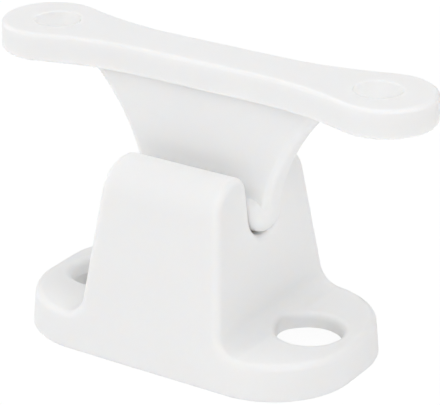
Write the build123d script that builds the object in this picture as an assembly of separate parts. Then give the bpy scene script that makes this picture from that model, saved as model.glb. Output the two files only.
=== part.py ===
from build123d import *
import os
from math import cos, radians, sin, sqrt, tan

# Sizes are in millimetres. X runs along both mouldings and Z is up.
# The origin is the centre of the base's underside.

# base flange
base_length = 45.1
base_width = 26.4
base_corner_radius = 11.0
flange_height = 4.6
flange_wall = 2.0
flange_draft = 5.0

# screw holes of the base
base_hole_diameter = 8.4
base_hole_margin = 2.85
base_hole_tower_gap = 0.95
base_hole_round = 0.9

# tower that rises from the flange between the screw holes
end_draft = 6.2
side_draft = 9.7
side_break_rise = 0.9
side_blend_radius = 15.0
shoulder_radius = 4.2
foot_radius = 2.6
base_edge_round = 0.9

# slot between the two jaws
slot_width = 6.1
slot_floor = 15.7
slot_depth = 8.8
lip_radius = 2.0
lip_crease = 10.0
slot_edge_round = 0.9

# hollow underside
tower_wall = 2.0
slot_floor_wall = 2.2
hollow_corner_radius = 1.2

# strike plate
plate_length = 60.5
plate_boss_diameter = 12.8
plate_waist_width = 7.2
plate_waist_radius = 42.0
plate_thickness = 3.7
plate_edge_round = 0.5

# screw holes of the strike
plate_hole_diameter = 5.8
plate_hole_inset = 7.25
plate_hole_round = 0.15

# blade and bead under the plate
blade_height = 15.15
blade_head_length = 34.2
blade_end_radius = 25.0
blade_edge_round = 1.0
blade_root_round = 0.5
blade_slot_clearance = 1.05
blade_foot_inset = 0.2
bead_overhang = 0.35
bead_end_round = 2.2
bead_slot_clearance = 0.2
bead_floor_gap = 0.4

# the strike stands a little off the middle of the slot, as it can slide along it
strike_offset = 1.25

# heights and lengths that follow from the sizes above
jaw_top = slot_floor + slot_depth
side_break_height = flange_height + side_break_rise
ledge_length = base_hole_margin + base_hole_diameter + base_hole_tower_gap
tower_length = base_length - 2 * ledge_length
base_hole_spacing = base_length - 2 * base_hole_margin - base_hole_diameter
bead_radius = slot_width / 2 - bead_slot_clearance
bead_height = slot_floor + bead_floor_gap + bead_radius
blade_thickness = slot_width - 2 * blade_slot_clearance
plate_under = bead_height + blade_height
plate_top = plate_under + plate_thickness
plate_hole_spacing = plate_length - 2 * plate_hole_inset


def lean(height, angle):
    """How far a drafted face leans in over a height."""
    return height * tan(radians(angle))


def at(items, axis, place):
    """The edges or vertices that lie at one place along an axis."""
    return items.filter_by_position(axis, place - 0.001, place + 0.001)


def tower_half_length(height):
    """Half the tower's length at a height above the flange."""
    return tower_length / 2 - lean(height - flange_height, end_draft)


def tower_half_width(height):
    """Half the tower's width at a height above the break in its sides."""
    half_break = base_width / 2 - lean(side_break_height, flange_draft)
    return half_break - lean(height - side_break_height, side_draft)


def flange_block(inset, height):
    """The outline of the flange with draft all round, set in by a wall."""
    length = base_length - 2 * inset
    width = base_width - 2 * inset
    corner = min(base_corner_radius - inset, 0.45 * width)
    return extrude(RectangleRounded(length, width, corner), amount=height, taper=flange_draft)


def tower_sides(inset, top, top_radius):
    """The section across the tower, run along X: steep sides that lean in more above the flange."""
    foot = (base_width / 2 - inset, 0)
    bend = (foot[0] - lean(side_break_height, flange_draft), side_break_height)
    shoulder = (tower_half_width(top) - inset, top)
    right = [foot, bend, shoulder]
    left = [(-y, z) for y, z in reversed(right)]
    section = make_face(Polyline(*right, *left, close=True))
    section = fillet(section.vertices().group_by(Axis.Y)[-1], top_radius)
    section = fillet(at(section.vertices(), Axis.Y, side_break_height), side_blend_radius)
    return extrude(Plane.YZ * section, amount=base_length / 2, both=True)


def tower_ends(inset, ledge, top, inner_radius):
    """The side view of the base, run along Y: flange ledges and leaning tower ends."""
    reach = base_length / 2
    half_foot = tower_half_length(ledge) - inset
    half_top = tower_half_length(top) - inset
    right = [(reach, 0), (reach, ledge), (half_foot, ledge), (half_top, top)]
    left = [(-x, z) for x, z in reversed(right)]
    view = make_face(Polyline(*right, *left, close=True))
    feet = at(view.vertices(), Axis.X, half_foot) + at(view.vertices(), Axis.X, -half_foot)
    view = fillet(feet, inner_radius)
    return extrude(Plane.XZ * view, amount=base_width / 2, both=True)


def base_hollow():
    """The core of the underside, which leaves an even wall below the flange and round the tower."""
    roof = slot_floor - slot_floor_wall
    core = flange_block(flange_wall, roof) & tower_sides(tower_wall, roof, hollow_corner_radius)
    return core & tower_ends(tower_wall, flange_height - flange_wall, roof, foot_radius + tower_wall)


def slot_cutter():
    """A round-bottomed slot along X whose mouth flares over the jaw lips.

    Each lip's arc stops a few degrees short of level and meets the jaw's top in a faint crease.
    """
    half = slot_width / 2
    wall_foot = slot_floor + half
    wall_top = jaw_top - lip_radius * cos(radians(lip_crease))
    mouth = half + lip_radius * (1 - sin(radians(lip_crease)))
    above = jaw_top + lip_radius
    section = make_face(
        [
            ThreePointArc((half, wall_foot), (0, slot_floor), (-half, wall_foot)),
            Line((-half, wall_foot), (-half, wall_top)),
            RadiusArc((-half, wall_top), (-mouth, jaw_top), -lip_radius),
            Polyline((-mouth, jaw_top), (-mouth, above), (mouth, above), (mouth, jaw_top)),
            RadiusArc((mouth, jaw_top), (half, wall_top), -lip_radius),
            Line((half, wall_top), (half, wall_foot)),
        ]
    )
    return extrude(Plane.YZ * section, amount=base_length / 2, both=True)


def base_outside():
    """Flange and tower as one block, rounded along its rims and corners, with the slot cut through."""
    jaw = tower_half_width(jaw_top) - slot_width / 2 - lip_radius
    shoulder = min(shoulder_radius, jaw)
    block = flange_block(0, jaw_top) & tower_sides(0, jaw_top, shoulder)
    block = block & tower_ends(0, flange_height, jaw_top, foot_radius)
    rims = at(block.edges(), Axis.Z, flange_height).sort_by(Axis.X)
    block = fillet([rims[0], rims[-1]], base_edge_round) - slot_cutter()
    curves = block.edges().filter_by(GeomType.ELLIPSE)
    floors = [edge for edge in curves if abs((edge @ 0.5).Z - slot_floor) < 0.001]
    return fillet(floors, slot_edge_round)


def hole_row(spacing, diameter, bottom, height):
    """Two upright cutters for screw holes."""
    cutter = Pos(Z=bottom + height / 2) * Cylinder(diameter / 2, height)
    return [Pos(X=side * spacing / 2) * cutter for side in (-1, 1)]


def round_rims(body, spacing, diameter, height, radius):
    """Rounds the rim of each screw hole where it opens at or above a height."""
    rims = []
    for edge in body.edges().filter_by_position(Axis.Z, height - 0.001, height + diameter):
        middle = edge @ 0.5
        reach = sqrt((abs(middle.X) - spacing / 2) ** 2 + middle.Y ** 2)
        if abs(reach - diameter / 2) < 0.01:
            rims.append(edge)
    return fillet(rims, radius)


def make_socket_base():
    """The base moulding: flange, tower with its two jaws, slot, screw holes and hollow underside."""
    body = base_outside() - base_hollow()
    body = body - hole_row(base_hole_spacing, base_hole_diameter, 0, jaw_top)
    return round_rims(body, base_hole_spacing, base_hole_diameter, flange_height, base_hole_round)


def plate_outline():
    """Two round bosses joined by a waist with long hollow flanks."""
    boss = plate_boss_diameter / 2
    waist = plate_waist_width / 2
    centre = plate_length / 2 - boss
    flank = waist + plate_waist_radius
    run = sqrt((boss + plate_waist_radius) ** 2 - flank**2)
    meet_x = centre - run * boss / (boss + plate_waist_radius)
    meet_y = flank * boss / (boss + plate_waist_radius)
    flat = centre - run
    half = [
        ThreePointArc((meet_x, -meet_y), (plate_length / 2, 0), (meet_x, meet_y)),
        RadiusArc((meet_x, meet_y), (flat, waist), plate_waist_radius),
        Line((flat, waist), (-flat, waist)),
        RadiusArc((-flat, waist), (-meet_x, meet_y), plate_waist_radius),
    ]
    return make_face(half + [Rot(Z=180) * edge for edge in half])


def make_plate():
    """The screw plate of the strike."""
    plate = Pos(Z=plate_under) * extrude(plate_outline(), amount=plate_thickness)
    rims = at(plate.edges(), Axis.Z, plate_top) + at(plate.edges(), Axis.Z, plate_under)
    return fillet(rims, plate_edge_round)


def make_blade(half_foot):
    """The blade: a thin web whose two curved ends flare from the bead out to the plate."""
    half_head = blade_head_length / 2
    inside = plate_under + plate_thickness / 2
    head = [(half_head, plate_under), (half_head, inside), (-half_head, inside), (-half_head, plate_under)]
    profile = make_face(
        [
            Line((-half_foot, bead_height), (half_foot, bead_height)),
            RadiusArc((half_foot, bead_height), head[0], blade_end_radius),
            Polyline(*head),
            RadiusArc(head[3], (-half_foot, bead_height), blade_end_radius),
        ]
    )
    blade = extrude(Plane.XZ * profile, amount=blade_thickness / 2, both=True)
    return fillet(blade.edges().filter_by(GeomType.CIRCLE), blade_edge_round)


def round_root(body):
    """Rounds the corner all round the blade where it meets the plate."""
    half_head = blade_head_length / 2
    roots = at(body.edges(), Axis.Z, plate_under).filter_by_position(Axis.X, -half_head, half_head)
    roots = [edge for edge in roots if abs(edge.center().Y) < blade_thickness / 2 + 0.001]
    return fillet(roots, blade_root_round)


def make_bead(half_length):
    """The round bead along the foot of the blade, with softly domed ends."""
    bead = Rot(Y=90) * Cylinder(bead_radius, 2 * half_length)
    bead = fillet(bead.edges().filter_by(GeomType.CIRCLE), bead_end_round)
    return Pos(Z=bead_height) * bead


def make_t_strike():
    """The strike moulding: plate, blade and bead in one piece, at its place along the slot."""
    half_bead = tower_half_length(bead_height) + bead_overhang
    body = round_root(make_plate() + make_blade(half_bead - blade_foot_inset))
    body = body + make_bead(half_bead)
    body = body - hole_row(plate_hole_spacing, plate_hole_diameter, plate_under, 2 * plate_thickness)
    body = round_rims(body, plate_hole_spacing, plate_hole_diameter, plate_top, plate_hole_round)
    return Pos(X=strike_offset) * body


if __name__ == "__main__":
    os.makedirs("parts", exist_ok=True)
    export_step(make_socket_base(), "parts/socket_base.step")
    export_step(make_t_strike(), "parts/t_strike.step")
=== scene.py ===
import math

import bpy
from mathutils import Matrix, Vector

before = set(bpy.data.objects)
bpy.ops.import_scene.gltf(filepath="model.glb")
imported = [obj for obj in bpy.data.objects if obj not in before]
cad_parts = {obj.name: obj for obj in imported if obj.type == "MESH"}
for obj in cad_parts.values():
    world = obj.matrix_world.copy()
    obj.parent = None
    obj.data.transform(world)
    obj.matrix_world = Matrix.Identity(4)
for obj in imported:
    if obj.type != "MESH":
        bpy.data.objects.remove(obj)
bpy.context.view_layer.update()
print("frame loaded:", sorted(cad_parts))

millimetre = 0.001


def newMaterial(name):
    material = bpy.data.materials.new(name)
    material.use_nodes = True
    material.node_tree.nodes.clear()
    return material, material.node_tree.nodes, material.node_tree.links


def makeNoise(nodes, links, place, size, detail):
    # noise in the piece's own coordinates, with its size in millimetres
    noise = nodes.new("ShaderNodeTexNoise")
    noise.inputs["Scale"].default_value = 1 / (size * millimetre)
    noise.inputs["Detail"].default_value = detail
    links.new(place.outputs["Object"], noise.inputs["Vector"])
    return noise


# the white moulded plastic, sizes in millimetres
plasticValues = {
    "colour": (0.94, 0.94, 0.94),
    "cloud": (0.925, 0.925, 0.92),  # the faint clouds in the white
    "cloudSize": 9.0,
    "satin": (0.42, 0.54),  # lowest and highest roughness
    "satinSize": 2.4,
    "grainSize": 0.14,
    "grainDepth": 0.004,
    "detail": {"cloud": 2, "satin": 3, "grain": 2},  # how many finer layers each noise has
    "specular": 0.32,
    "scatter": 1.0,
    "scatterReach": (0.65, 0.6, 0.55),  # how far light spreads under the surface
}


def makePlastic(name, values):
    material, nodes, links = newMaterial(name)
    output = nodes.new("ShaderNodeOutputMaterial")
    shader = nodes.new("ShaderNodeBsdfPrincipled")
    place = nodes.new("ShaderNodeTexCoord")
    shader.inputs["Specular IOR Level"].default_value = values["specular"]
    shader.inputs["Subsurface Weight"].default_value = values["scatter"]
    shader.inputs["Subsurface Radius"].default_value = values["scatterReach"]
    shader.inputs["Subsurface Scale"].default_value = millimetre

    # faint clouds in the white
    clouds = makeNoise(nodes, links, place, values["cloudSize"], values["detail"]["cloud"])
    tint = nodes.new("ShaderNodeMix")
    tint.data_type = "RGBA"
    tint.inputs["A"].default_value = (*values["colour"], 1)
    tint.inputs["B"].default_value = (*values["cloud"], 1)
    links.new(clouds.outputs["Fac"], tint.inputs["Factor"])
    links.new(tint.outputs["Result"], shader.inputs["Base Color"])

    # satin patches, a little duller and glossier
    patches = makeNoise(nodes, links, place, values["satinSize"], values["detail"]["satin"])
    satin = nodes.new("ShaderNodeMapRange")
    satin.inputs["To Min"].default_value = values["satin"][0]
    satin.inputs["To Max"].default_value = values["satin"][1]
    links.new(patches.outputs["Fac"], satin.inputs["Value"])
    links.new(satin.outputs["Result"], shader.inputs["Roughness"])

    # the fine grain of the mould
    grain = makeNoise(nodes, links, place, values["grainSize"], values["detail"]["grain"])
    bump = nodes.new("ShaderNodeBump")
    bump.inputs["Distance"].default_value = values["grainDepth"] * millimetre
    links.new(grain.outputs["Fac"], bump.inputs["Height"])
    links.new(bump.outputs["Normal"], shader.inputs["Normal"])
    links.new(shader.outputs["BSDF"], output.inputs["Surface"])
    return material


# the pale floor under the object, sizes in millimetres
floorValues = {
    "size": 1600,
    "drop": 0.05,  # how far the floor lies below the object's underside
    "colour": (0.9, 0.9, 0.9),
    "glow": 1.03,  # what the camera sees of the floor
    "lift": 0.16,  # the weak light that the floor gives the object
    "shadowShare": 0.08,  # how much of the object's shadow shows
    "shadowNear": 60,  # where the shadow starts to fade, and where it has gone
    "shadowFar": 200,
}


def makeFloorMaterial(values):
    # a pale floor that the camera sees as white, apart from the object's faint shadow
    material, nodes, links = newMaterial("paleFloor")
    output = nodes.new("ShaderNodeOutputMaterial")
    diffuse = nodes.new("ShaderNodeBsdfDiffuse")
    lift = nodes.new("ShaderNodeEmission")
    lit = nodes.new("ShaderNodeAddShader")
    glow = nodes.new("ShaderNodeEmission")
    shadow = nodes.new("ShaderNodeMixShader")
    choose = nodes.new("ShaderNodeMixShader")
    diffuse.inputs["Color"].default_value = (*values["colour"], 1)
    lift.inputs["Strength"].default_value = values["lift"]
    glow.inputs["Strength"].default_value = values["glow"]

    # the shadow fades out away from the object
    place = nodes.new("ShaderNodeTexCoord")
    reach = nodes.new("ShaderNodeVectorMath")
    fade = nodes.new("ShaderNodeMapRange")
    reach.operation = "LENGTH"
    fade.inputs["From Min"].default_value = values["shadowNear"] * millimetre
    fade.inputs["From Max"].default_value = values["shadowFar"] * millimetre
    fade.inputs["To Min"].default_value = values["shadowShare"]
    fade.inputs["To Max"].default_value = 0
    links.new(place.outputs["Object"], reach.inputs[0])
    links.new(reach.outputs["Value"], fade.inputs["Value"])
    links.new(fade.outputs["Result"], shadow.inputs["Fac"])
    links.new(glow.outputs["Emission"], shadow.inputs[1])
    links.new(diffuse.outputs["BSDF"], shadow.inputs[2])

    # what the object gets from the floor
    links.new(diffuse.outputs["BSDF"], lit.inputs[0])
    links.new(lift.outputs["Emission"], lit.inputs[1])

    # the camera sees one, also through clear things, and the object's light comes from the other
    path = nodes.new("ShaderNodeLightPath")
    seen = nodes.new("ShaderNodeMath")
    seen.operation = "MAXIMUM"
    links.new(path.outputs["Is Camera Ray"], seen.inputs[0])
    links.new(path.outputs["Is Transmission Ray"], seen.inputs[1])
    links.new(seen.outputs["Value"], choose.inputs["Fac"])
    links.new(lit.outputs["Shader"], choose.inputs[1])
    links.new(shadow.outputs["Shader"], choose.inputs[2])
    links.new(choose.outputs["Shader"], output.inputs["Surface"])
    return material


def makeFloor(values):
    half = values["size"] * millimetre / 2
    level = -values["drop"] * millimetre
    corners = [(-half, -half, level), (half, -half, level), (half, half, level), (-half, half, level)]
    mesh = bpy.data.meshes.new("floor")
    mesh.from_pydata(corners, [], [(0, 1, 2, 3)])
    mesh.materials.append(makeFloorMaterial(values))
    floor = bpy.data.objects.new("floor", mesh)
    bpy.context.scene.collection.objects.link(floor)


# the room beyond the floor
roomValues = {
    "white": 1.0,  # what the camera sees of it
    "fillColour": (1.0, 1.0, 1.0),
    "fillStrength": 0.01,  # the weak even light from all round
}


def makeRoom(values):
    # white to the camera, and a weak even fill to everything else
    world = bpy.data.worlds.new("room")
    bpy.context.scene.world = world
    world.use_nodes = True
    nodes, links = world.node_tree.nodes, world.node_tree.links
    nodes.clear()
    output = nodes.new("ShaderNodeOutputWorld")
    fill = nodes.new("ShaderNodeBackground")
    white = nodes.new("ShaderNodeBackground")
    choose = nodes.new("ShaderNodeMixShader")
    path = nodes.new("ShaderNodeLightPath")
    fill.inputs["Color"].default_value = (*values["fillColour"], 1)
    fill.inputs["Strength"].default_value = values["fillStrength"]
    white.inputs["Color"].default_value = (1, 1, 1, 1)
    white.inputs["Strength"].default_value = values["white"]
    links.new(path.outputs["Is Camera Ray"], choose.inputs["Fac"])
    links.new(fill.outputs["Background"], choose.inputs[1])
    links.new(white.outputs["Background"], choose.inputs[2])
    links.new(choose.outputs["Shader"], output.inputs["Surface"])


# the softboxes round the object, and how far off and how high they aim, in millimetres
# each has its turn and rise in degrees, its width in millimetres and its watts
# turn 0 is in front of the long side, and 90 is off the right-hand end
lampValues = {
    "away": 450,
    "aimHeight": 18,
    "softboxes": {
        "besideCamera": {"turn": 33, "rise": 24, "size": 120, "watts": 0.19},
        "frontRight": {"turn": 45, "rise": 42, "size": 300, "watts": 0.45},
        "rightHalf": {"turn": 60, "rise": 26, "size": 200, "watts": 0.27},
        "backRight": {"turn": 135, "rise": 42, "size": 300, "watts": 0.56},
        "backLeft": {"turn": 225, "rise": 42, "size": 300, "watts": 0.35},
        "leftLow": {"turn": 270, "rise": 14, "size": 240, "watts": 0.45},
        "frontLeftLow": {"turn": 315, "rise": 14, "size": 240, "watts": 0.12},
        "frontLeft": {"turn": 315, "rise": 42, "size": 300, "watts": 0.40},
        "front": {"turn": 340, "rise": 26, "size": 200, "watts": 0.11},
        "overhead": {"turn": 0, "rise": 90, "size": 300, "watts": 0.56},
    },
}


def makeLamps(values):
    target = Vector((0, 0, values["aimHeight"])) * millimetre
    for name, lamp in values["softboxes"].items():
        turn, rise = math.radians(lamp["turn"]), math.radians(lamp["rise"])
        across = math.cos(rise)
        toLamp = Vector((math.sin(turn) * across, -math.cos(turn) * across, math.sin(rise)))
        light = bpy.data.lights.new(name, "AREA")
        light.size = lamp["size"] * millimetre
        light.energy = lamp["watts"]
        holder = bpy.data.objects.new(name, light)
        holder.location = target + toLamp * values["away"] * millimetre
        holder.rotation_euler = (-toLamp).to_track_quat("-Z", "Y").to_euler()
        bpy.context.scene.collection.objects.link(holder)


# where the photograph was taken from, in millimetres and degrees
cameraValues = {
    "place": (149.2, -227.3, 136.1),
    "turn": 32.853,
    "dip": 23.515,
    "lens": 195.44,
    "sensorWidth": 36.0,
}


def makeCamera(values):
    # an unturned camera looks straight down, so the dip is taken from a right angle
    data = bpy.data.cameras.new("photographView")
    data.sensor_width = values["sensorWidth"]
    data.lens = values["lens"]
    camera = bpy.data.objects.new("photographView", data)
    camera.location = Vector(values["place"]) * millimetre
    tilt = math.pi / 2 - math.radians(values["dip"])
    camera.rotation_euler = (tilt, 0, math.radians(values["turn"]))
    bpy.context.scene.collection.objects.link(camera)
    bpy.context.scene.camera = camera


plasticOf = {"socket_base": "whiteBasePlastic", "t_strike": "whiteStrikePlastic"}
for node, name in plasticOf.items():
    plastic = makePlastic(name, plasticValues)
    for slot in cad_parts[node].material_slots:
        slot.material = plastic
    print("plastic on", node)

makeFloor(floorValues)
makeRoom(roomValues)
print("floor and room made")
makeLamps(lampValues)
print("softboxes made:", len(lampValues["softboxes"]))
makeCamera(cameraValues)
bpy.context.scene.view_settings.view_transform = "Standard"
print("camera made")
